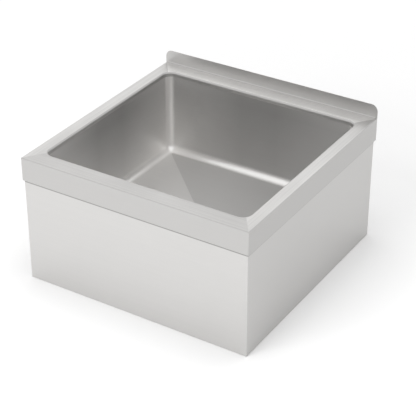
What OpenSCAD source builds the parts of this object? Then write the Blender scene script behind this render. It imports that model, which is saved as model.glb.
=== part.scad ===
// Floor-standing mop service sink: mitred deck, coved bowl, skirted base and basket drain.
// Millimetres. +Z is up, the front is -Y, and the origin is the middle of the footprint on the floor.

/* [Overall] */
// Width across the front, over the side rims
sink_w = 609.6; // [520:0.1:800]
// Depth from the front rim to the back of the splash
sink_d = 609.6; // [520:0.1:800]
// Height of the bowl's floor above the ground, where it leaves the coves
under_bowl = 101.6; // [93:0.1:160]

/* [Sheet steel] */
// Thickness of the deck, bowl and skirt sheet
sheet_t = 1.5; // [1:0.1:2]
// Outside radius of the press-brake bends
bend_r = 3; // [2.5:0.1:4]
// Radius of the upright corners, welded and ground round
corner_r = 3; // [1:0.5:3]
// Flat left between the rim's bend and the start of a seam across the deck
seam_land = 1; // [0.5:0.5:3]

/* [Deck] */
// Width of the left and right deck strips
side_strip = 34; // [30:1:60]
// Width of the front deck strip
front_strip = 46; // [32:1:70]
// Width of the rear deck strip, from the splash's back to the bowl
rear_strip = 46; // [36:1:70]
// Height of the rim's drop below the deck
rim_drop = 60; // [40:1:90]
// Height of the leaf folded up behind the rim's bottom edge
hem_h = 12; // [8:1:20]
// Gap inside the folded hem
hem_gap = 0.2; // [0.1:0.05:0.6]
// Radius of the roll from the deck down into the bowl
roll_r = 5; // [3:0.5:7]
// Depth of the weld line between deck and bowl, below the deck
weld_drop = 12; // [9:1:20]

/* [Splash] */
// Height of the splash above the deck
splash_h = 35; // [24:1:60]
// Radius of the splash's two top corners
splash_corner_r = 18; // [4:1:20]
// Inside radius of the bend between deck and splash
splash_bend_r = 4; // [2:0.5:8]

/* [Bowl] */
// Depth of the bowl at its walls
bowl_depth = 228.6; // [150:0.1:320]
// Radius of the coves along the floor and up the corners
cove_r = 22; // [14:1:30]
// Fall of the cross-broken floor from the coves to the drain
floor_fall = 8; // [4:0.5:12]
// Depth of the pressed recess that takes the drain's flange
recess_depth = 4; // [2:0.5:6]
// Flat left round the drain's flange in the recess
recess_margin = 1; // [0.5:0.5:4]
// Diameter of the drain hole in the bowl
drain_hole_d = 89; // [88:0.5:92]

/* [Skirt] */
// Width of the flange turned in under the deck
skirt_head = 16; // [10:1:22]
// Width of the flange turned in along the floor
skirt_foot = 22; // [14:1:40]
// Leg of the angle uprights in the corners
upright_leg = 25; // [16:1:30]
// Thickness of the angle uprights
upright_t = 2; // [1.5:0.1:3]

/* [Strainer body] */
// Diameter of the flange that sits in the recess
flange_d = 114; // [106:1:120]
// Thickness of the flange
flange_t = 2; // [1.2:0.1:3]
// Outside diameter of the threaded cup
cup_od = 86; // [82:0.5:87]
// Wall of the strainer body
cup_wall = 1.8; // [1.4:0.1:2.4]
// Depth of the straight part of the cup below the recess
cup_depth = 24; // [22:0.5:28]
// Height of the sloping seat
seat_h = 8; // [6:0.5:10]
// Width of the sloping seat, seen from above
seat_w = 9.5; // [7:0.5:12]
// Depth of the sump below the seat
sump_h = 8; // [6:0.5:9]
// Diameter of the outlet
outlet_d = 38.6; // [38:0.2:40]
// Outside diameter of the outlet's thread
outlet_od = 47; // [46:0.2:48]
// Length of the outlet's thread below the sump
outlet_h = 16; // [15:0.5:20]
// Width of the two cross bars over the outlet
bar_w = 4; // [3:0.5:6]
// Thickness of the cross bars
bar_t = 3; // [2:0.5:4]
// Diameter of the ring where the cross bars meet
bar_ring_d = 10; // [9:0.5:14]

/* [Clamping ring] */
// Thickness of the rubber gasket
gasket_t = 3.2; // [2:0.2:4]
// Diameter of the gasket and the friction washer
gasket_d = 112; // [104:1:114]
// Thickness of the friction washer
washer_t = 1; // [0.6:0.1:2]
// Height of the lock nut
lock_nut_h = 12; // [9:0.5:13]
// Diameter of the lock nut's clamping face
lock_nut_d = 108; // [100:1:112]
// Diameter of the lock nut's barrel
lock_barrel_d = 98; // [94:1:99]
// Thickness of the lock nut's clamping flange
lock_flange_t = 3; // [2:0.5:4]
// Number of lugs on the lock nut
lug_count = 8; // [4:1:12]
// Width of a lug
lug_w = 7; // [4:0.5:10]

/* [Basket] */
// Thickness of the basket cup's sheet
basket_t = 0.8; // [0.6:0.1:1.2]
// Gap between the basket's brim and the strainer body
brim_gap = 0.8; // [0.5:0.1:1.5]
// Width of the brim turned out at the top of the cup
brim_w = 2.4; // [2:0.2:3]
// Depth of the brim below the top of the flange
brim_sink = 1; // [0.5:0.5:2]
// Taper of the cup from its brim to its floor
basket_taper = 2.5; // [1:0.5:4]
// Radius of the cup's bottom corner
basket_corner_r = 4; // [2.5:0.5:5]
// Diameter of the drain holes in the cup
perf_d = 3.6; // [2:0.2:3.8]
// Holes in the inner ring of the cup's floor
floor_holes = 9; // [6:1:10]
// Holes in each row round the cup's side
side_holes = 24; // [12:1:28]
// Thickness of the stopper's edge
stopper_edge = 2.4; // [1.5:0.1:3]
// Gap between the stopper and its seat
stopper_gap = 0.3; // [0.2:0.05:0.6]
// How far the stopper's edge stands in from the cup's wall
stopper_inset = 3; // [2:0.5:4]
// Width of the stopper's sloping edge
stopper_bevel_w = 4.5; // [3:0.5:6]
// Diameter of the post
post_d = 6.4; // [5:0.2:8]
// Diameter of the knob
knob_d = 18; // [14:1:22]
// Height of the knob
knob_h = 9; // [7:0.5:10]
// Height of the top of the knob above the flange
knob_rise = 8; // [4:0.5:9]
// Diameter of the shoulder that presses on the cup's floor
shoulder_d = 15; // [12:1:18]
// Thickness of the shoulder
shoulder_t = 2; // [1:0.5:3]
// Width across the flats of the stem nut
stem_nut_af = 11; // [10:0.5:13]
// Height of the stem nut
stem_nut_h = 4; // [3:0.5:4.5]
// Thread left to show below the stem nut
thread_show = 1; // [0.5:0.5:2]
// Diameter that the post's tip is turned down to
tip_d = 4; // [3:0.2:4.6]
// How far the post's tip reaches below the cross bars
tip_reach = 3; // [1:0.5:6]
// Gap between the post's tip and the cross bars' ring
tip_gap = 0.4; // [0.3:0.1:1]
// Bevel round the post's tip
tip_bevel = 0.8; // [0.4:0.2:1.2]

/* [Tailpiece] */
// Outside diameter of the tailpiece
tail_od = 38.1; // [36:0.1:38.4]
// Wall of the tailpiece
tail_wall = 0.9; // [0.7:0.1:1.5]
// Gap between the tailpiece and the floor
tail_gap = 3; // [1:0.5:8]
// Diameter of the tailpiece's flange and its washer
tail_flange_d = 45.8; // [43:0.2:46]
// Thickness of the tailpiece's flange
tail_flange_t = 1.5; // [1:0.1:2]
// How far the tube's rolled neck stands out under its flange
tail_neck_t = 0.4; // [0.2:0.1:0.6]
// Length of the rolled neck that shows below the coupling nut
tail_neck_show = 1.5; // [0.5:0.5:3]
// Thickness of the tailpiece's washer
tail_washer_t = 1.8; // [1:0.1:2.4]
// Outside diameter of the coupling nut
coupling_d = 58; // [54:1:64]
// Thickness of the coupling nut's lip under the tailpiece's flange
coupling_lip = 3; // [2:0.5:4]
// Bare thread left between the coupling nut and the sump
thread_bare = 3; // [2:0.5:5]
// Number of grip ribs round the coupling nut
grip_count = 12; // [6:1:18]
// Width of a grip rib
grip_w = 4; // [2:0.5:6]

/* [Clearances] */
// Radial gap between screwed or threaded-on pieces
thread_gap = 0.1; // [0.05:0.05:0.3]
// Radial gap between a piece slipped over another and the piece inside it
slip_gap = 0.3; // [0.2:0.05:0.6]
// Gap between an upright's ends and the skirt's bends
upright_gap = 0.3; // [0.2:0.1:1]

/* [Hidden] */
$fn = 64;
steel = "lightgray";
dull_steel = "silver";
zinc = "darkgray";
black_rubber = "dimgray";
fibre = "tan";
nylon = "whitesmoke";
eps = 0.5;
hole_fn = 24;

// The deck stands above the ground by the bowl's depth and the room that the drain needs under it
floor_z = under_bowl;
deck_z = floor_z + bowl_depth;

// Outline of the bowl's opening, and the middle of the bowl, where the drain is
bowl_hx = sink_w / 2 - side_strip;
bowl_hy = (sink_d - front_strip - rear_strip) / 2;
bowl_y = (front_strip - rear_strip) / 2;
weld_z = deck_z - weld_drop;
recess_z = floor_z - floor_fall - recess_depth;
recess_r = flange_d / 2 + recess_margin;

// Folded edges: the hem sets how far the skirt stands in behind the rim
hem_t = 2 * sheet_t + hem_gap;
rim_z = deck_z - rim_drop;
skirt_w = sink_w - 2 * hem_t;
skirt_d = sink_d - 2 * hem_t;
skirt_z = deck_z - sheet_t;
seam_y = sink_d / 2 - sheet_t - splash_bend_r;
rim_turn = max(hem_t, bend_r) + seam_land;
upright_inset = hem_t + sheet_t;

// Heights of the drain, from the recess down
flange_top = recess_z + flange_t;
cup_r = cup_od / 2;
cup_ri = cup_r - cup_wall;
seat_z = recess_z - cup_depth;
throat_z = seat_z - seat_h;
throat_r = cup_ri - seat_w;
sump_z = throat_z - sump_h;
thread_z = sump_z - cup_wall;
outlet_z = thread_z - outlet_h;
outlet_r = outlet_d / 2;
gasket_z = recess_z - sheet_t - gasket_t;
washer_z = gasket_z - washer_t;
lock_nut_z = washer_z - lock_nut_h;
tail_washer_z = outlet_z - tail_washer_t;
tail_flange_z = tail_washer_z - tail_flange_t;
coupling_z = tail_flange_z - coupling_lip;
tail_neck_r = tail_od / 2 + tail_neck_t;
coupling_top = thread_z - thread_bare;

// The basket hangs on the same seat: stopper first, then the cup that stands on it
function seat_height(r) = throat_z + seat_h * (r - throat_r) / seat_w;
seat_lift = stopper_gap * sqrt(seat_h * seat_h + seat_w * seat_w) / seat_w;
brim_r = cup_ri - brim_gap;
stopper_r = cup_ri - stopper_inset;
stopper_foot_r = stopper_r - stopper_bevel_w;
stopper_z = seat_height(stopper_foot_r) + seat_lift;
stopper_top = seat_height(stopper_r) + seat_lift + stopper_edge;
brim_z = flange_top - brim_sink;
basket_top_r = brim_r - brim_w;
basket_foot_r = basket_top_r - basket_taper;
knob_top = flange_top + knob_rise;
tip_z = sump_z - bar_t - tip_reach;

// ---- Ways of placing a profile ----

// Extrudes a profile along X, its own x pointing to +Y and its own y to +Z
module run_x(length) {
    translate([-length / 2, 0, 0]) rotate([90, 0, 90]) linear_extrude(length) children();
}

// Sweeps a profile round a rounded rectangle, the profile's x pointing outwards
module sweep_round(hx, hy, r) {
    for (side = [-1, 1]) {
        rotate([0, 0, side > 0 ? 0 : 180]) translate([0, hy, 0]) run_x(2 * (hx - r)) children();
        rotate([0, 0, side * 90]) translate([0, hx, 0]) run_x(2 * (hy - r)) children();
    }
    for (sx = [-1, 1], sy = [-1, 1])
        translate([sx * (hx - r), sy * (hy - r), 0])
            rotate([0, 0, sx > 0 ? (sy > 0 ? 0 : -90) : (sy > 0 ? 90 : 180)])
                rotate_extrude(angle = 90) translate([r, 0]) children();
}

// Outline with its four corners rounded
module rounded_rect(hx, hy, r) {
    square([2 * hx, 2 * (hy - r)], center = true);
    square([2 * (hx - r), 2 * hy], center = true);
    for (sx = [-1, 1], sy = [-1, 1]) translate([sx * (hx - r), sy * (hy - r)]) circle(r);
}

// A quarter of a bend's ring: outer radius r, centre c, in the quadrant that sx and sy name
module bend(c, r, t, sx, sy) {
    intersection() {
        translate(c) difference() {
            circle(r);
            circle(r - t);
        }
        translate([c[0] + (sx < 0 ? -r : 0), c[1] + (sy < 0 ? -r : 0)]) square(r);
    }
}

// ---- Deck ----

// Rim, seen end on with its outer face at x = 0: bend, drop, and hem folded up behind
module rim_profile() {
    fold_r = hem_t / 2;
    translate([-bend_r - eps, skirt_z]) square([eps, sheet_t]);
    bend([-bend_r, deck_z - bend_r], bend_r, sheet_t, 1, 1);
    translate([-sheet_t, rim_z + fold_r]) square([sheet_t, rim_drop - fold_r - bend_r]);
    bend([-fold_r, rim_z + fold_r], fold_r, sheet_t, 1, -1);
    bend([-fold_r, rim_z + fold_r], fold_r, sheet_t, -1, -1);
    translate([-hem_t, rim_z + fold_r]) square([sheet_t, hem_h - fold_r]);
}

// Roll into the bowl, with its wall face at x = 0
module roll_profile() {
    translate([roll_r, skirt_z]) square([eps, sheet_t]);
    bend([roll_r, deck_z - roll_r], roll_r, sheet_t, -1, 1);
    translate([0, weld_z]) square([sheet_t, weld_drop - roll_r]);
}

// Bend from the deck up to the foot of the splash, with the splash's back face at x = 0
module splash_bend_profile() {
    corner = [-sheet_t - splash_bend_r, deck_z + splash_bend_r];
    translate([corner[0] - eps, skirt_z]) square([eps, sheet_t]);
    bend(corner, splash_bend_r + sheet_t, sheet_t, 1, -1);
    translate([-sheet_t, corner[1]]) square([sheet_t, eps]);
}

// Splash seen from the front, with a tab at each end that stands on the side strip
module splash_outline() {
    r = splash_corner_r;
    difference() {
        union() {
            translate([-sink_w / 2, deck_z]) square([sink_w, splash_h - r]);
            translate([-sink_w / 2 + r, deck_z]) square([sink_w - 2 * r, splash_h]);
            for (side = [-1, 1])
                translate([side * (sink_w / 2 - r), deck_z + splash_h - r]) circle(r);
        }
        translate([-sink_w / 2, deck_z - 2 * r]) square([sink_w, 2 * r]);
        translate([-sink_w / 2 + rim_turn, deck_z - eps])
            square([sink_w - 2 * rim_turn, splash_bend_r + eps]);
    }
}

// Flat sheet with the roll round the opening, before it is cut into strips
module deck_blank(back_y) {
    difference() {
        translate([-sink_w / 2 + bend_r, -sink_d / 2 + bend_r, skirt_z])
            cube([sink_w - 2 * bend_r, back_y + sink_d / 2 - bend_r, sheet_t]);
        translate([0, bowl_y, skirt_z - eps]) linear_extrude(sheet_t + 2 * eps)
            rounded_rect(bowl_hx + roll_r, bowl_hy + roll_r, cove_r + roll_r);
    }
    translate([0, bowl_y, 0]) sweep_round(bowl_hx, bowl_hy, cove_r) roll_profile();
}

// Outline of the deck, with its two front corners ground round
module deck_outline() {
    translate([-sink_w / 2, corner_r - sink_d / 2]) square([sink_w, sink_d - corner_r]);
    translate([corner_r - sink_w / 2, -sink_d / 2]) square([sink_w - 2 * corner_r, sink_d]);
    for (side = [-1, 1])
        translate([side * (sink_w / 2 - corner_r), corner_r - sink_d / 2]) circle(corner_r);
}

// A seam starts at the inner edge of the rim, runs through the corner of the bowl's opening
// and ends inside the opening
function rim_corner(side, end) = [side * (sink_w / 2 - rim_turn),
    end < 0 ? -sink_d / 2 + rim_turn : seam_y - eps];
function bowl_corner(side, end) = [side * bowl_hx, bowl_y + end * bowl_hy];
function seam_end(side, end) = bowl_corner(side, end) + (bowl_corner(side, end)
    - rim_corner(side, end)) * cove_r / min(side_strip, front_strip, rear_strip);

module deck_front() {
    color(steel) intersection() {
        union() {
            deck_blank(seam_y);
            translate([0, -sink_d / 2, 0]) rotate([0, 0, 180]) run_x(sink_w) rim_profile();
        }
        linear_extrude(deck_z + eps) intersection() {
            deck_outline();
            polygon([
                [-sink_w / 2, -sink_d / 2], [sink_w / 2, -sink_d / 2], rim_corner(1, -1),
                seam_end(1, -1), seam_end(-1, -1), rim_corner(-1, -1)]);
        }
    }
}

// Mitred with the front rim, and square to the back
module deck_side() {
    intersection() {
        union() {
            deck_blank(sink_d / 2);
            translate([sink_w / 2, 0, 0]) rotate([0, 0, -90]) run_x(sink_d) rim_profile();
        }
        linear_extrude(deck_z + eps) intersection() {
            deck_outline();
            polygon([
                [sink_w / 2, -sink_d / 2], [sink_w / 2, sink_d / 2],
                [sink_w / 2 - rim_turn, sink_d / 2], rim_corner(1, 1), seam_end(1, 1),
                seam_end(1, -1), rim_corner(1, -1)]);
        }
    }
}

module deck_right() {
    color(steel) deck_side();
}

module deck_left() {
    color(steel) mirror([1, 0, 0]) deck_side();
}

module deck_rear() {
    color(steel) {
        intersection() {
            deck_blank(seam_y);
            linear_extrude(deck_z + eps) polygon([
                rim_corner(-1, 1), seam_end(-1, 1), seam_end(1, 1), rim_corner(1, 1),
                [sink_w / 2 - rim_turn, seam_y], [-sink_w / 2 + rim_turn, seam_y]]);
        }
        translate([0, sink_d / 2, 0]) run_x(sink_w - 2 * rim_turn) splash_bend_profile();
        translate([0, sink_d / 2, 0]) rotate([90, 0, 0]) linear_extrude(sheet_t) splash_outline();
    }
}

// ---- Bowl ----

// A well with coved corners and floor edges: grow moves every face outwards by the sheet
module coved_well(grow) {
    r = cove_r + grow;
    hx = bowl_hx + grow;
    hy = bowl_hy + grow;
    base = floor_z - grow;
    translate([0, 0, base + r]) linear_extrude(weld_z - base - r) rounded_rect(hx, hy, r);
    translate([0, 0, base + r / 2])
        cube([2 * (hx - r), 2 * (hy - r), r], center = true);
    for (side = [-1, 1]) {
        translate([0, side * (hy - r), base + r]) rotate([0, 90, 0])
            cylinder(r = r, h = 2 * (hx - r), center = true);
        translate([side * (hx - r), 0, base + r]) rotate([90, 0, 0])
            cylinder(r = r, h = 2 * (hy - r), center = true);
    }
    for (sx = [-1, 1], sy = [-1, 1]) translate([sx * (hx - r), sy * (hy - r), base + r]) sphere(r);
}

// Four planes that fall from the cove's edges to one point, cut from a block
module cross_break(grow) {
    hx = bowl_hx - cove_r;
    hy = bowl_hy - cove_r;
    base = floor_z - grow;
    difference() {
        translate([-hx, -hy, base - floor_fall]) cube([2 * hx, 2 * hy, floor_fall + cove_r / 2]);
        for (side = [-1, 1]) {
            falling_cut(side * 90, hx, base);
            falling_cut(side > 0 ? 0 : 180, hy, base);
        }
    }
}

// Takes away what lies under a plane that starts at the cove and meets the others in the middle
module falling_cut(turn, run, base) {
    size = sink_w + sink_d;
    rotate([0, 0, turn]) translate([0, run, base]) rotate([atan(floor_fall / run), 0, 0])
        translate([-size / 2, -size / 2, -size]) cube([size, size, size]);
}

// Recess for the flange, its sloping side cut at 45 degrees
module drain_recess(grow) {
    r = recess_r + grow * (sqrt(2) - 1);
    h = recess_depth + floor_fall;
    rotate_extrude() polygon([
        [0, recess_z - grow], [r, recess_z - grow], [r + h, recess_z - grow + h],
        [0, recess_z - grow + h]]);
}

module bowl_form(grow) {
    coved_well(grow);
    cross_break(grow);
    drain_recess(grow);
}

module bowl() {
    color(steel) translate([0, bowl_y, 0]) difference() {
        bowl_form(sheet_t);
        bowl_form(0);
        translate([0, 0, recess_z - sheet_t - eps]) cylinder(d = drain_hole_d, h = sheet_t + 2 * eps);
    }
}

// ---- Skirt ----

// Panel seen end on with its outer face at x = 0
module skirt_profile() {
    translate([-skirt_foot, 0]) square([skirt_foot - bend_r, sheet_t]);
    bend([-bend_r, bend_r], bend_r, sheet_t, 1, -1);
    translate([-sheet_t, bend_r]) square([sheet_t, skirt_z - 2 * bend_r]);
    bend([-bend_r, skirt_z - bend_r], bend_r, sheet_t, 1, 1);
    translate([-skirt_head, skirt_z - sheet_t]) square([skirt_head - bend_r, sheet_t]);
}

// Panel across the back of a w by d box, mitred at both ends and ground round there
module skirt_panel(w, d) {
    run = skirt_foot + eps;
    intersection() {
        translate([0, d / 2, 0]) run_x(w) skirt_profile();
        linear_extrude(skirt_z) intersection() {
            rounded_rect(w / 2, d / 2, corner_r);
            polygon([
                [-w / 2, d / 2], [w / 2, d / 2],
                [w / 2 - run, d / 2 - run], [-w / 2 + run, d / 2 - run]]);
        }
    }
}

module skirt_rear() {
    color(dull_steel) skirt_panel(skirt_w, skirt_d);
}

module skirt_front() {
    color(dull_steel) rotate([0, 0, 180]) skirt_panel(skirt_w, skirt_d);
}

module skirt_right() {
    color(dull_steel) rotate([0, 0, -90]) skirt_panel(skirt_d, skirt_w);
}

module skirt_left() {
    color(dull_steel) rotate([0, 0, 90]) skirt_panel(skirt_d, skirt_w);
}

// Angle upright inside the corner that sx and sy name, flat against both panels
module upright(sx, sy) {
    h = skirt_z - 2 * (bend_r + upright_gap);
    mirror([sx < 0 ? 1 : 0, 0, 0]) mirror([0, sy < 0 ? 1 : 0, 0])
        translate([sink_w / 2 - upright_inset, sink_d / 2 - upright_inset, bend_r + upright_gap])
            difference() {
                translate([-upright_leg, -upright_leg, 0]) cube([upright_leg, upright_leg, h]);
                translate([-upright_leg - eps, -upright_leg - eps, -eps])
                    cube([upright_leg - upright_t + eps, upright_leg - upright_t + eps, h + 2 * eps]);
            }
}

module upright_front_left() {
    color(dull_steel) upright(-1, -1);
}

module upright_front_right() {
    color(dull_steel) upright(1, -1);
}

module upright_rear_left() {
    color(dull_steel) upright(-1, 1);
}

module upright_rear_right() {
    color(dull_steel) upright(1, 1);
}

// ---- Drain ----

module at_drain() {
    translate([0, bowl_y, 0]) children();
}

// A plain ring standing on z
module ring(od, id, h, z) {
    translate([0, 0, z]) difference() {
        cylinder(d = od, h = h);
        translate([0, 0, -eps]) cylinder(d = id, h = h + 2 * eps);
    }
}

module strainer_shell() {
    wall = cup_wall;
    rotate_extrude() polygon([
        [outlet_r, outlet_z], [outlet_od / 2, outlet_z], [outlet_od / 2, thread_z],
        [throat_r + wall, thread_z], [throat_r + wall, throat_z], [cup_r, seat_z],
        [cup_r, recess_z], [flange_d / 2, recess_z], [flange_d / 2 - flange_t / 2, flange_top],
        [cup_ri, flange_top], [cup_ri, seat_z], [throat_r, throat_z], [throat_r, sump_z],
        [outlet_r, sump_z]]);
}

// Cross bars over the outlet, with the ring that guides the basket's post
module cross_bars() {
    reach = outlet_d + cup_wall;
    difference() {
        union() {
            translate([-reach / 2, -bar_w / 2, sump_z - bar_t]) cube([reach, bar_w, bar_t]);
            translate([-bar_w / 2, -reach / 2, sump_z - bar_t]) cube([bar_w, reach, bar_t]);
            translate([0, 0, sump_z - bar_t]) cylinder(d = bar_ring_d, h = bar_t);
        }
        translate([0, 0, sump_z - bar_t - eps])
            cylinder(d = tip_d + 2 * tip_gap, h = bar_t + 2 * eps);
    }
}

module strainer_body() {
    color(dull_steel) at_drain() {
        strainer_shell();
        cross_bars();
    }
}

module drain_gasket() {
    color(black_rubber) at_drain() ring(gasket_d, cup_od + 2 * slip_gap, gasket_t, gasket_z);
}

module friction_washer() {
    color(fibre) at_drain() ring(gasket_d, cup_od + 2 * slip_gap, washer_t, washer_z);
}

module lock_nut() {
    color(zinc) at_drain() difference() {
        union() {
            translate([0, 0, lock_nut_z]) cylinder(d = lock_barrel_d, h = lock_nut_h);
            translate([0, 0, washer_z - lock_flange_t]) cylinder(d = lock_nut_d, h = lock_flange_t);
            for (i = [0 : lug_count - 1]) rotate([0, 0, i * 360 / lug_count])
                translate([cup_r + cup_wall, -lug_w / 2, lock_nut_z])
                    cube([lock_nut_d / 2 - cup_r - cup_wall - eps, lug_w, lock_nut_h]);
        }
        translate([0, 0, lock_nut_z - eps])
            cylinder(r = cup_r + thread_gap, h = lock_nut_h + 2 * eps);
    }
}

// ---- Basket ----

// Outline of half the cup's wall, as a solid of revolution before its holes
module basket_shell() {
    foot = stopper_top;
    r = basket_corner_r;
    rotate_extrude() {
        polygon([
            [post_d / 2 + thread_gap, foot], [basket_foot_r - r, foot], [basket_foot_r, foot + r],
            [basket_top_r, brim_z], [basket_top_r - basket_t, brim_z],
            [basket_foot_r - basket_t, foot + r],
            [basket_foot_r - r, foot + basket_t], [post_d / 2 + thread_gap, foot + basket_t]]);
        translate([basket_top_r - basket_t, brim_z - basket_t])
            square([brim_r - basket_top_r + basket_t, basket_t]);
    }
}

module basket_cup() {
    mid = (basket_foot_r + shoulder_d / 2) / 2;
    pitch = perf_d + 2 * basket_t;
    color(steel) at_drain() difference() {
        basket_shell();
        for (row = [0 : 1], i = [0 : floor_holes * (row + 1) - 1])
            rotate([0, 0, (i + row / 2) * 360 / (floor_holes * (row + 1))])
                translate([mid + (row - 0.5) * 2 * pitch, 0, stopper_top - eps])
                    cylinder(d = perf_d, h = basket_t + 2 * eps, $fn = hole_fn);
        for (row = [0 : 1], i = [0 : side_holes - 1])
            rotate([0, 0, (i + row / 2) * 360 / side_holes])
                translate([basket_foot_r - 2 * basket_t, 0, (stopper_top + brim_z) / 2 + (row - 0.5) * pitch])
                    rotate([0, 90, 0]) cylinder(d = perf_d, h = basket_taper + 3 * basket_t, $fn = hole_fn);
    }
}

module basket_stopper() {
    bore = post_d / 2 + thread_gap;
    color(black_rubber) at_drain() rotate_extrude() polygon([
        [bore, stopper_z], [stopper_foot_r, stopper_z],
        [stopper_r, stopper_top - stopper_edge], [stopper_r, stopper_top], [bore, stopper_top]]);
}

// Post with its turned-down tip, its shoulder and its waisted knob
module basket_post() {
    step_z = stopper_z - stem_nut_h - thread_show;
    shoulder_z = stopper_top + basket_t;
    knob_z = knob_top - knob_h;
    edge = knob_h / 4;
    color(dull_steel) at_drain() rotate_extrude() polygon([
        [0, tip_z], [tip_d / 2 - tip_bevel, tip_z], [tip_d / 2, tip_z + tip_bevel],
        [tip_d / 2, step_z], [post_d / 2, step_z], [post_d / 2, shoulder_z],
        [shoulder_d / 2, shoulder_z],
        [shoulder_d / 2, shoulder_z + shoulder_t], [post_d / 2, shoulder_z + shoulder_t],
        [post_d / 2, knob_z], [knob_d / 2 - edge, knob_z + edge / 2], [knob_d / 2, knob_z + edge],
        [knob_d / 2, knob_top - edge], [knob_d / 2 - edge, knob_top], [0, knob_top]]);
}

module stem_nut() {
    color(zinc) at_drain() translate([0, 0, stopper_z - stem_nut_h]) difference() {
        cylinder(d = stem_nut_af / cos(30), h = stem_nut_h, $fn = 6);
        translate([0, 0, -eps]) cylinder(r = post_d / 2 + thread_gap, h = stem_nut_h + 2 * eps);
    }
}

// ---- Tailpiece ----

module tailpiece() {
    bore = tail_od - 2 * tail_wall;
    color(steel) at_drain() difference() {
        union() {
            translate([0, 0, tail_gap]) cylinder(d = tail_od, h = tail_washer_z - tail_gap);
            translate([0, 0, coupling_z - tail_neck_show])
                cylinder(r = tail_neck_r, h = coupling_lip + tail_neck_show);
            translate([0, 0, tail_flange_z]) cylinder(d = tail_flange_d, h = tail_flange_t);
        }
        translate([0, 0, tail_gap - eps]) cylinder(d = bore, h = tail_washer_z - tail_gap + 2 * eps);
    }
}

module tailpiece_washer() {
    color(nylon) at_drain() ring(tail_flange_d, tail_od, tail_washer_t, tail_washer_z);
}

module coupling_nut() {
    color(zinc) at_drain() difference() {
        union() {
            translate([0, 0, coupling_z]) cylinder(d = coupling_d, h = coupling_top - coupling_z);
            for (i = [0 : grip_count - 1]) rotate([0, 0, i * 360 / grip_count])
                translate([0, -grip_w / 2, coupling_z])
                    cube([coupling_d / 2 + grip_w / 2, grip_w, coupling_top - coupling_z]);
        }
        translate([0, 0, tail_flange_z])
            cylinder(r = outlet_od / 2 + thread_gap, h = coupling_top - tail_flange_z + eps);
        translate([0, 0, coupling_z - eps]) cylinder(r = tail_neck_r + slip_gap, h = coupling_lip + 2 * eps);
    }
}

bowl();
deck_front();
deck_left();
deck_right();
deck_rear();
skirt_front();
skirt_left();
skirt_right();
skirt_rear();
upright_front_left();
upright_front_right();
upright_rear_left();
upright_rear_right();
strainer_body();
drain_gasket();
friction_washer();
lock_nut();
basket_cup();
basket_stopper();
basket_post();
stem_nut();
tailpiece();
tailpiece_washer();
coupling_nut();
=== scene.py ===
import math

import bpy
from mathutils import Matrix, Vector

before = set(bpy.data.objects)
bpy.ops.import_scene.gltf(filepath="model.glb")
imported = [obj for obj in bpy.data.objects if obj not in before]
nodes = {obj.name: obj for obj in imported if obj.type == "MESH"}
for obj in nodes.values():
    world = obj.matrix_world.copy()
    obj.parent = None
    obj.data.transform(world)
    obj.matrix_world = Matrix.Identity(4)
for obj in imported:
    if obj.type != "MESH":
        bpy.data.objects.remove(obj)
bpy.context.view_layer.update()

bpy.ops.object.select_all(action="DESELECT")


def heights(node):
    """The lowest and the highest point of a CAD node, in metres over the floor."""
    piece = nodes[node]
    levels = [(piece.matrix_world @ Vector(corner)).z for corner in piece.bound_box]
    return min(levels), max(levels)


# ---- Driving values of the sheets' finishes ----

# Brush lines: cycles per metre of the hair lines, bands and clouds, their shares, and their depth in metres
HAIR_ALONG = 9.0
HAIR_ACROSS = 1400.0
BAND_ALONG = 1.6
BAND_ACROSS = 160.0
BAND_START = (3.1, 1.7, 5.3)
CLOUD = 5.0
CLOUD_START = (0.4, 2.2, 1.1)
BAND_SHARE = 0.5
CLOUD_SHARE = 0.35
BRUSH_DEPTH = 0.00012

# From where to where a face comes to count as square to an axis, as the part of its normal along that axis
LOOSELY_LEVEL = (0.4, 0.9)
DECK_LEVEL = (0.93, 0.995)
FLOOR_LEVEL = (0.9, 0.995)
SIDEWAYS = (0.5, 0.86)
FLAT = (0.9, 0.99)

# The steel's faint warmth in red, green and blue
WARMTH = (1.012, 1.0, 0.984)

# The darkest and the lightest of a worn surface, as shares of its tone
LEVEL_SHADES = (0.8, 1.18)
UPRIGHT_SHADES = (0.975, 1.025)
BOWL_SHADES = (0.95, 1.04)
PAINTED_LIGHT_SHADES = (0.95, 1.02)
FLOOR_SHADES = (0.97, 1.03)

# The smoothest and the roughest of it, beside its roughness
SHEET_ROUGHS = (-0.05, 0.06)
BOWL_ROUGHS = (-0.04, 0.05)

# A painted line of shade on the skirt, right under the rim, where the rim's overhang shades it
RIM_SHADE_LOW = heights("deck_front")[0] - 0.0047
RIM_SHADE_HEIGHT = 0.006
RIM_SHADE_EDGE = 0.002
RIM_SHADE_TONE = 0.45

# Where the bowl's walls and floor are painted lighter or darker, as painted light and shade, in metres, and
# by how much, as shares of their tone
WALL_TOP = heights("bowl")[1]
PALER_BELOW = WALL_TOP - 0.0282
PALEST_BELOW = WALL_TOP - 0.1982
PALER_FROM_MIDDLE = 0.05
PALEST_FROM_MIDDLE = 0.25
END_WALL_PAINTED_LIGHT = 2.1
SIDE_WALL_PAINTED_LIGHT = 2.6
FLOOR_REACH = 0.26
FLOOR_TILT = 0.03
FLOOR_LEFT_PAINTED_LIGHT = 1.27
FLOOR_RIGHT_PAINTED_SHADE = 0.62

# How metallic a surface is
METAL = 1.0
DULL_METAL = 0.9

# How much the shine of brushed steel is drawn out
SHEET_SHEEN = 0.6
BOWL_SHEEN = 0.5

# The middle of a noise pattern, over which a number and a colour change, and the noise's own roughness
PATTERN_SPAN = (0.25, 0.75)
SHADE_SPAN = (0.3, 0.7)
NOISE_ROUGHNESS = 0.6


# ---- Node trees ----

def unit(axis):
    """The direction of one axis."""
    return tuple(1.0 if each == axis else 0.0 for each in "XYZ")


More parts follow.
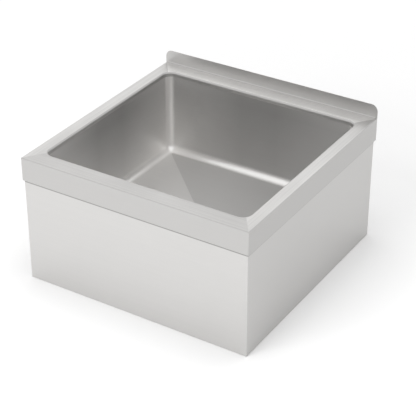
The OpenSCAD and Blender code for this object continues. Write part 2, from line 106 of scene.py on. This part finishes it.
def stretched(axis, along, across):
    """A scale for each axis: one along the given axis, the other across it."""
    return tuple(along if each == axis else across for each in "XYZ")


def warm(tone):
    """The grey of the sheet at a tone, faintly warm."""
    return tuple(tone * part for part in WARMTH)


def grey(tone):
    """A plain grey."""
    return (tone, tone, tone)


def even(scale):
    """The same scale along all three axes."""
    return (scale, scale, scale)


class Tree:
    """A node tree with the few steps that the finishes, the floor and the sky are built from."""

    def __init__(self, tree):
        self.nodes = tree.nodes
        self.links = tree.links

    def feed(self, socket, value):
        """Links another node's output to a socket, or sets the socket to a plain value."""
        if isinstance(value, bpy.types.NodeSocket):
            self.links.new(value, socket)
        else:
            socket.default_value = value

    def add(self, kind, sockets, **settings):
        """Adds a node, sets it up, feeds its sockets and gives back its outputs."""
        node = self.nodes.new(kind)
        for setting, value in settings.items():
            setattr(node, setting, value)
        for socket, value in sockets.items():
            self.feed(node.inputs[socket], value)
        return node.outputs

    def place(self):
        """The point on the object, in metres."""
        return self.add("ShaderNodeTexCoord", {})["Object"]

    def face(self, kind):
        """The direction that the surface looks in: Normal, or True Normal for the face without smoothing."""
        return self.add("ShaderNodeNewGeometry", {})[kind]

    def parts(self, direction):
        """The X, Y and Z of a direction or place."""
        return self.add("ShaderNodeSeparateXYZ", {"Vector": direction})

    def number(self, operation, *values):
        """Arithmetic on numbers."""
        return self.add("ShaderNodeMath", dict(enumerate(values)), operation=operation)[0]

    def direction(self, operation, *values):
        """Arithmetic on directions and places. Gives a Vector, or a Value where the answer is a number."""
        return self.add("ShaderNodeVectorMath", dict(enumerate(values)), operation=operation)

    def ranged(self, value, start, end, low=0.0, high=1.0):
        """Low at start, high at end, straight in between and level beyond them."""
        sockets = {"Value": value, "From Min": start, "From Max": end, "To Min": low, "To Max": high}
        return self.add("ShaderNodeMapRange", sockets)["Result"]

    def mixed(self, kind, share, first, second):
        """Goes from the first number, direction or colour to the second as share goes from 0 to 1."""
        at, result = {"FLOAT": (2, 0), "VECTOR": (4, 1), "RGBA": (6, 2)}[kind]
        return self.add("ShaderNodeMix", {0: share, at: first, at + 1: second}, data_type=kind)[result]

    def streaks(self, scale, detail=3.0, start=(0.0, 0.0, 0.0), turn=0.0):
        """Noise with a scale in cycles per metre along X, Y and Z, so that it can be drawn out in lines."""
        sockets = {"Vector": self.place(), "Location": start, "Rotation": (0.0, 0.0, turn), "Scale": scale}
        spot = self.add("ShaderNodeMapping", sockets)["Vector"]
        sockets = {"Vector": spot, "Scale": 1.0, "Detail": detail, "Roughness": NOISE_ROUGHNESS}
        return self.add("ShaderNodeTexNoise", sockets)["Fac"]

    def spread(self, pattern, low, high):
        """Brings the middle half of a pattern into the range low to high."""
        return self.ranged(pattern, *PATTERN_SPAN, low, high)

    def shade(self, pattern, dark, light):
        """A colour between dark and light by a pattern."""
        ramp = self.nodes.new("ShaderNodeValToRGB")
        for stop, place, colour in zip(ramp.color_ramp.elements, SHADE_SPAN, (dark, light)):
            stop.position = place
            stop.color = (*colour, 1.0)
        self.feed(ramp.inputs["Fac"], pattern)
        return ramp.outputs["Color"]

    def facing(self, axis, span):
        """0 on faces turned away from an axis, 1 on those that look along it either way."""
        towards = self.direction("DOT_PRODUCT", self.face("True Normal"), unit(axis))["Value"]
        return self.ranged(self.number("ABSOLUTE", towards), *span)

    def squareness(self, span):
        """1 on walls, floor and other faces square to an axis, 0 on the coves between them."""
        size = self.parts(self.direction("ABSOLUTE", self.face("True Normal"))["Vector"])
        sideways = self.number("MAXIMUM", size["X"], size["Y"])
        return self.ranged(self.number("MAXIMUM", sideways, size["Z"]), *span)

    def height(self, start, end):
        """0 at the height start, 1 at the height end, in metres over the floor."""
        return self.ranged(self.parts(self.place())["Z"], start, end)

    def off_middle(self, side_wall, start, end):
        """Along a wall of the bowl: 0 up to start from its middle, 1 from end on.

        side_wall is 1 on the left and right walls and 0 on the front and rear ones.
        """
        off = self.parts(self.direction("ABSOLUTE", self.place())["Vector"])
        return self.ranged(self.mixed("FLOAT", side_wall, off["X"], off["Y"]), start, end)

    def leftward(self, reach):
        """1 at reach to the left of the middle, 0 at reach to the right."""
        return self.ranged(self.parts(self.place())["X"], reach, -reach)

    def left_plane(self, tilt):
        """1 on the floor's left plane, which looks a little to the right, 0 on its right one."""
        return self.ranged(self.parts(self.face("True Normal"))["X"], -tilt, tilt)

    def seen_by_camera_and_metal(self):
        """1 for the camera's rays, what metal mirrors and what shows through, 0 for the light on things."""
        path = self.add("ShaderNodeLightPath", {})
        either = self.number("MAXIMUM", path["Is Camera Ray"], path["Is Glossy Ray"])
        return self.number("MAXIMUM", either, path["Is Transmission Ray"])


class Finish(Tree):
    """A new material, with its shader's sockets."""

    def __init__(self, name):
        self.material = bpy.data.materials.new(name)
        self.material.use_nodes = True
        super().__init__(self.material.node_tree)
        self.shader = self.nodes["Principled BSDF"].inputs

    def surface(self, colour, roughness, metallic=0.0):
        """Colour, roughness and how metallic it is, each a pattern or a plain value."""
        self.feed(self.shader["Base Color"], colour)
        self.feed(self.shader["Roughness"], roughness)
        self.feed(self.shader["Metallic"], metallic)

    def raise_grain(self, pattern, strength, depth):
        """Bump by a pattern. depth is in metres."""
        sockets = {"Height": pattern, "Strength": strength, "Distance": depth}
        self.feed(self.shader["Normal"], self.add("ShaderNodeBump", sockets)["Normal"])

    def brush(self, along, sheen):
        """Draws the shine out across the brush lines, on whichever face of the sheet."""
        self.feed(self.shader["Anisotropic"], sheen)
        across = self.direction("CROSS_PRODUCT", self.face("Normal"), along)["Vector"]
        self.feed(self.shader["Tangent"], across)

    def brush_lines(self, axis):
        """Fine hair lines, and the broad bands among them."""
        hairs = self.streaks(stretched(axis, HAIR_ALONG, HAIR_ACROSS), detail=4.0)
        bands = self.streaks(stretched(axis, BAND_ALONG, BAND_ACROSS), start=BAND_START)
        return hairs, bands

    def worn_lines(self, hairs, bands):
        """The brushed pattern, and the same pattern with clouds of wear over it."""
        cloud = self.streaks(even(CLOUD), detail=2.0, start=CLOUD_START)
        pattern = self.mixed("FLOAT", BAND_SHARE, hairs, bands)
        return pattern, self.mixed("FLOAT", CLOUD_SHARE, pattern, cloud)

    def steel(self, pattern, tone, shades):
        """The sheet's colour, from the darkest to the lightest of its shades of a tone."""
        return self.shade(pattern, *[warm(tone * share) for share in shades])

    def steel_roughness(self, pattern, rough, spans):
        """The sheet's roughness, from the smoothest to the roughest of it."""
        return self.spread(pattern, *[rough + beside for beside in spans])


# ---- Finishes of the sheets ----

def brushed_sheet(name, axis, tones, rough, grain, level=LOOSELY_LEVEL, shaded_under_rim=False):
    """Satin sheet steel, brushed along one axis. It has one tone for level faces and one for upright ones,
    which paints the tops lighter than the upright faces where the two differ.
    """
    level_tone, upright_tone = tones
    finish = Finish(name)
    pattern, worn = finish.worn_lines(*finish.brush_lines(axis))
    on_level = finish.steel(worn, level_tone, LEVEL_SHADES)
    on_upright = finish.steel(worn, upright_tone, UPRIGHT_SHADES)
    colour = finish.mixed("RGBA", finish.facing("Z", level), on_upright, on_level)
    # Painted shade: a dark line on the skirt just under the rim
    if shaded_under_rim:
        above = finish.height(RIM_SHADE_LOW, RIM_SHADE_LOW + RIM_SHADE_EDGE)
        beyond = finish.height(RIM_SHADE_LOW + RIM_SHADE_HEIGHT - RIM_SHADE_EDGE, RIM_SHADE_LOW + RIM_SHADE_HEIGHT)
        rim_shade = (*warm(upright_tone * RIM_SHADE_TONE), 1.0)
        colour = finish.mixed("RGBA", finish.number("SUBTRACT", above, beyond), colour, rim_shade)
    finish.surface(colour, finish.steel_roughness(worn, rough, SHEET_ROUGHS), METAL)
    finish.brush(unit(axis), SHEET_SHEEN)
    finish.raise_grain(pattern, grain, BRUSH_DEPTH)
    return finish.material


def bowl_finish(name, wall, floor, cove, grain):
    """Satin sheet brushed level round the four walls and across the floor, with hand-dressed coves.

    wall, floor and cove each give a tone and a roughness; the three tones paint the bowl's light and shade,
    with darker walls and coves painted light as bright highlight bands. The walls are painted lighter low
    down and towards the corners, and the floor is painted lighter to the left and darker to the right.
    """
    finish = Finish(name)
    side_wall = finish.facing("X", SIDEWAYS)
    both_ways = zip(finish.brush_lines("X"), finish.brush_lines("Y"))
    lines = [finish.mixed("FLOAT", side_wall, *pair) for pair in both_ways]
    pattern, worn = finish.worn_lines(*lines)

    def colour(place, share, shades):
        return finish.steel(worn, place["tone"] * share, shades)

    # Painted light: the walls are painted lighter low down and towards the corners
    low_down = finish.height(PALER_BELOW, PALEST_BELOW)
    to_corner = finish.off_middle(side_wall, PALER_FROM_MIDDLE, PALEST_FROM_MIDDLE)
    paler = finish.mixed("FLOAT", 0.5, low_down, to_corner)
    end_wall = colour(wall, END_WALL_PAINTED_LIGHT, PAINTED_LIGHT_SHADES)
    palest = finish.mixed("RGBA", side_wall, end_wall, colour(wall, SIDE_WALL_PAINTED_LIGHT, PAINTED_LIGHT_SHADES))
    walls = finish.mixed("RGBA", paler, colour(wall, 1.0, BOWL_SHADES), palest)

    # Painted light and shade: the floor is painted lighter on its left and darker on its right
    to_left = finish.mixed("FLOAT", 0.5, finish.left_plane(FLOOR_TILT), finish.leftward(FLOOR_REACH))
    floor_right = colour(floor, FLOOR_RIGHT_PAINTED_SHADE, FLOOR_SHADES)
    level = finish.mixed("RGBA", to_left, floor_right, colour(floor, FLOOR_LEFT_PAINTED_LIGHT, FLOOR_SHADES))

    looks_up = finish.facing("Z", FLOOR_LEVEL)
    flat = finish.squareness(FLAT)

    def shared_out(kind, on_walls, on_floor, on_coves):
        sheet = finish.mixed(kind, looks_up, on_walls, on_floor)
        return finish.mixed(kind, flat, on_coves, sheet)

    colours = shared_out("RGBA", walls, level, colour(cove, 1.0, BOWL_SHADES))
    roughs = [finish.steel_roughness(worn, place["rough"], BOWL_ROUGHS) for place in (wall, floor, cove)]
    finish.surface(colours, shared_out("FLOAT", *roughs), METAL)
    finish.brush(finish.mixed("VECTOR", side_wall, unit("X"), unit("Y")), BOWL_SHEEN)
    finish.raise_grain(pattern, grain, BRUSH_DEPTH)
    return finish.material


# ---- Finishes of the drain ----

def turned_steel(name):
    """Drain steel polished round its own axis, with fine rings and a few water marks."""
    tone, rough = 0.62, 0.27
    finish = Finish(name)
    sockets = {"Vector": finish.place(), "Scale": 260.0, "Distortion": 1.5, "Detail": 2.0}
    rings = finish.add("ShaderNodeTexWave", sockets, wave_type="RINGS", rings_direction="Z")["Fac"]
    marks = finish.streaks(even(70.0), detail=4.0)
    colour = finish.shade(marks, grey(tone * 0.9), grey(tone * 1.06))
    finish.surface(colour, finish.spread(marks, rough - 0.06, rough + 0.1), METAL)
    finish.raise_grain(finish.mixed("FLOAT", 0.6, rings, marks), strength=0.15, depth=0.00006)
    return finish.material


def bright_metal(name, tone, rough):
    """Polished or plated metal with a faint haze of wear."""
    finish = Finish(name)
    haze = finish.streaks((120.0, 120.0, 60.0), detail=5.0)
    colour = finish.shade(haze, grey(tone * 0.95), grey(tone * 1.03))
    finish.surface(colour, finish.spread(haze, rough, rough + 0.1), METAL)
    finish.raise_grain(haze, strength=0.06, depth=0.00005)
    return finish.material


def cast_zinc(name):
    """Die-cast zinc: dull, with the skin of the mould."""
    tone = 0.46
    finish = Finish(name)
    skin = finish.streaks(even(420.0), detail=5.0)
    patches = finish.streaks(even(45.0), start=(7.0, 1.0, 2.0))
    colour = finish.shade(patches, grey(tone * 0.86), grey(tone * 1.1))
    finish.surface(colour, finish.spread(skin, 0.42, 0.62), DULL_METAL)
    finish.raise_grain(skin, strength=0.35, depth=0.00015)
    return finish.material


def rubber(name):
    """Moulded black rubber with a fine matt skin and a little bloom."""
    finish = Finish(name)
    skin = finish.streaks(even(900.0), detail=4.0)
    bloom = finish.streaks(even(60.0))
    colour = finish.shade(bloom, (0.022, 0.022, 0.023), (0.045, 0.044, 0.043))
    finish.surface(colour, finish.spread(skin, 0.5, 0.75))
    finish.raise_grain(skin, strength=0.3, depth=0.0001)
    return finish.material


def pressed_fibre(name):
    """Vulcanised fibre: brown, with short fibres pressed in."""
    finish = Finish(name)
    fibres = finish.streaks((800.0, 300.0, 800.0), detail=5.0, turn=0.6)
    colour = finish.shade(fibres, (0.22, 0.12, 0.065), (0.42, 0.27, 0.16))
    finish.surface(colour, finish.spread(fibres, 0.6, 0.8))
    finish.raise_grain(fibres, strength=0.4, depth=0.0001)
    return finish.material


def nylon(name):
    """Moulded nylon, slightly yellowed."""
    finish = Finish(name)
    cloudy = finish.streaks(even(90.0))
    colour = finish.shade(cloudy, (0.72, 0.71, 0.65), (0.82, 0.82, 0.78))
    finish.surface(colour, finish.spread(cloudy, 0.35, 0.5))
    finish.raise_grain(cloudy, strength=0.1, depth=0.0001)
    return finish.material


# ---- Which piece has which finish ----

# The tones paint light and shade on one steel: the side strips' and above all the rear strip's tops are
# painted lighter than the front one, the tops lighter than their rims, and the side rims and side skirts
# darker as the shaded side
deck = {"grain": 0.3, "level": DECK_LEVEL}
front_strip = brushed_sheet("Front deck strip", "X", tones=(0.63, 0.555), rough=0.4, **deck)
rear_strip = brushed_sheet("Rear deck strip and splash", "X", tones=(0.9, 0.52), rough=0.36, **deck)
side_strip = brushed_sheet("Side deck strips", "Y", tones=(0.7, 0.51), rough=0.4, **deck)
skirt = {"rough": 0.36, "grain": 0.12}
skirt_front = brushed_sheet("Skirt sheet brushed along X", "X", tones=(0.64, 0.64), shaded_under_rim=True, **skirt)
skirt_rear = brushed_sheet("Rear skirt sheet", "X", tones=(0.64, 0.64), **skirt)
skirt_side = brushed_sheet("Skirt sheet brushed along Y", "Y", tones=(0.56, 0.56), shaded_under_rim=True, **skirt)
# The bowl's tones paint its light and shade: walls painted darker, the floor lighter, and the coves light as
# bright highlight bands
bowl_sheet = bowl_finish(
    "Bowl sheet",
    wall={"tone": 0.38, "rough": 0.55},
    floor={"tone": 0.65, "rough": 0.7},
    cove={"tone": 0.95, "rough": 0.36},
    grain=0.03,
)
mill_sheet = brushed_sheet("Mill-finish angle", "Z", tones=(0.52, 0.52), rough=0.45, grain=0.2)
drain_steel = turned_steel("Turned drain steel")
knob_steel = bright_metal("Polished post", tone=0.72, rough=0.12)
plated_tube = bright_metal("Plated tube", tone=0.68, rough=0.1)
zinc = cast_zinc("Cast zinc")
black_rubber = rubber("Black rubber")
brown_fibre = pressed_fibre("Brown fibre")
white_nylon = nylon("White nylon")

finishes = {
    "bowl": bowl_sheet,
    "deck_front": front_strip,
    "deck_rear": rear_strip,
    "deck_left": side_strip,
    "deck_right": side_strip,
    "skirt_front": skirt_front,
    "skirt_rear": skirt_rear,
    "skirt_left": skirt_side,
    "skirt_right": skirt_side,
    "upright_front_left": mill_sheet,
    "upright_front_right": mill_sheet,
    "upright_rear_left": mill_sheet,
    "upright_rear_right": mill_sheet,
    "strainer_body": drain_steel,
    "basket_cup": drain_steel,
    "basket_post": knob_steel,
    "basket_stopper": black_rubber,
    "drain_gasket": black_rubber,
    "friction_washer": brown_fibre,
    "lock_nut": zinc,
    "stem_nut": zinc,
    "coupling_nut": zinc,
    "tailpiece": plated_tube,
    "tailpiece_washer": white_nylon,
}

# Points this near, in metres, are one, and edges that turn by more than this stay sharp
WELD_REACH = 0.00001
FOLD_ANGLE = math.radians(28)


def dress(node, material):
    """Gives a CAD node its finish, and smooth shading on its curved faces."""
    piece = nodes[node]
    piece.data.materials.clear()
    piece.data.materials.append(material)
    for face in piece.data.polygons:
        face.use_smooth = True
    weld = piece.modifiers.new("Close the triangles", "WELD")
    weld.merge_threshold = WELD_REACH
    split = piece.modifiers.new("Keep the folds", "EDGE_SPLIT")
    split.split_angle = FOLD_ANGLE
    level = piece.modifiers.new("Keep the flats flat", "WEIGHTED_NORMAL")
    level.keep_sharp = True


for node, material in finishes.items():
    dress(node, material)


# ---- Studio: floor ----

# Metres, and how strongly the floor glows up to GLOW_FROM and beyond GLOW_FULL from the middle
FLOOR_SIZE = 60.0
GLOW_FROM = 0.9
GLOW_FULL = 3.5
NEAR_GLOW = 0.08
FAR_GLOW = 0.6
WHITE = (1.0, 1.0, 1.0, 1.0)


def floor_material():
    """Pale floor: plain diffuse, plus a glow that grows away from the sink, so that it reads as white."""
    finish = Finish("Pale floor")
    finish.surface((0.86, 0.86, 0.86, 1.0), 0.9)
    finish.feed(finish.shader["Specular IOR Level"], 0.0)
    away = finish.direction("LENGTH", finish.place())["Value"]
    far_glow = finish.ranged(away, GLOW_FROM, GLOW_FULL, NEAR_GLOW, FAR_GLOW)
    glow = finish.number("MULTIPLY", finish.seen_by_camera_and_metal(), far_glow)
    finish.feed(finish.shader["Emission Color"], WHITE)
    finish.feed(finish.shader["Emission Strength"], glow)
    return finish.material


bpy.ops.mesh.primitive_plane_add(size=FLOOR_SIZE, location=(0.0, 0.0, 0.0))
sheet = bpy.context.object
sheet.name = "Floor"
sheet.data.materials.append(floor_material())


# ---- Studio: lamps and sky ----

# Strength of the sky where it lights things, and where the camera or metal sees it
SKY_ON_THINGS = 0.54
SKY_TO_THE_EYE = 1.0


def soft_light(name, location, target, size, watts):
    """A square lamp that metal doesn't mirror."""
    data = bpy.data.lights.new(name, "AREA")
    data.shape = "SQUARE"
    data.size = size
    data.energy = watts
    lamp = bpy.data.objects.new(name, data)
    bpy.context.scene.collection.objects.link(lamp)
    lamp.location = location
    lamp.rotation_mode = "QUATERNION"
    lamp.rotation_quaternion = (Vector(target) - Vector(location)).to_track_quat("-Z", "Y")
    lamp.visible_glossy = False


soft_light("Key", location=(-0.6, -2.45, 2.3), target=(0.0, 0.0, 0.0), size=1.6, watts=40.0)
soft_light("Overhead", location=(0.3, 0.1, 2.2), target=(0.0, 0.0, 0.1), size=0.9, watts=7.0)
soft_light("Ceiling", location=(0.0, 0.0, 2.8), target=(0.0, 0.0, 0.1), size=3.0, watts=34.0)

world = bpy.data.worlds.new("Studio")
bpy.context.scene.world = world
world.use_nodes = True
sky = Tree(world.node_tree)
background = sky.nodes["Background"].inputs
strength = sky.ranged(sky.seen_by_camera_and_metal(), 0.0, 1.0, SKY_ON_THINGS, SKY_TO_THE_EYE)
sky.feed(background["Color"], WHITE)
sky.feed(background["Strength"], strength)


# ---- Camera, at the photograph's angle ----

# Distances are in metres. AIM_RIGHT and AIM_UP shift the picture's middle from the point aimed at.
AZIMUTH = math.radians(31.98)
ELEVATION = math.radians(31.2)
DISTANCE = 3.339
AIM_HEIGHT = 0.18
AIM_RIGHT = -0.0108
AIM_UP = 0.0374
FOCAL_PIXELS = 1384.0
PICTURE_PIXELS = 416.0
SENSOR_WIDTH = 36.0

level_way = Vector((-math.sin(AZIMUTH), math.cos(AZIMUTH), 0.0))
forward = level_way * math.cos(ELEVATION) - Vector((0.0, 0.0, math.sin(ELEVATION)))
right = Vector((math.cos(AZIMUTH), math.sin(AZIMUTH), 0.0))
up = right.cross(forward)
aim = Vector((0.0, 0.0, AIM_HEIGHT)) - right * AIM_RIGHT - up * AIM_UP
camera_data = bpy.data.cameras.new("Camera")
camera_data.sensor_width = SENSOR_WIDTH
camera_data.lens = FOCAL_PIXELS / PICTURE_PIXELS * SENSOR_WIDTH
camera_data.clip_end = 100.0
camera = bpy.data.objects.new("Camera", camera_data)
bpy.context.scene.collection.objects.link(camera)
camera.location = aim - forward * DISTANCE
camera.rotation_mode = "QUATERNION"
camera.rotation_quaternion = forward.to_track_quat("-Z", "Y")
bpy.context.scene.camera = camera
bpy.context.scene.view_settings.view_transform = "Standard"
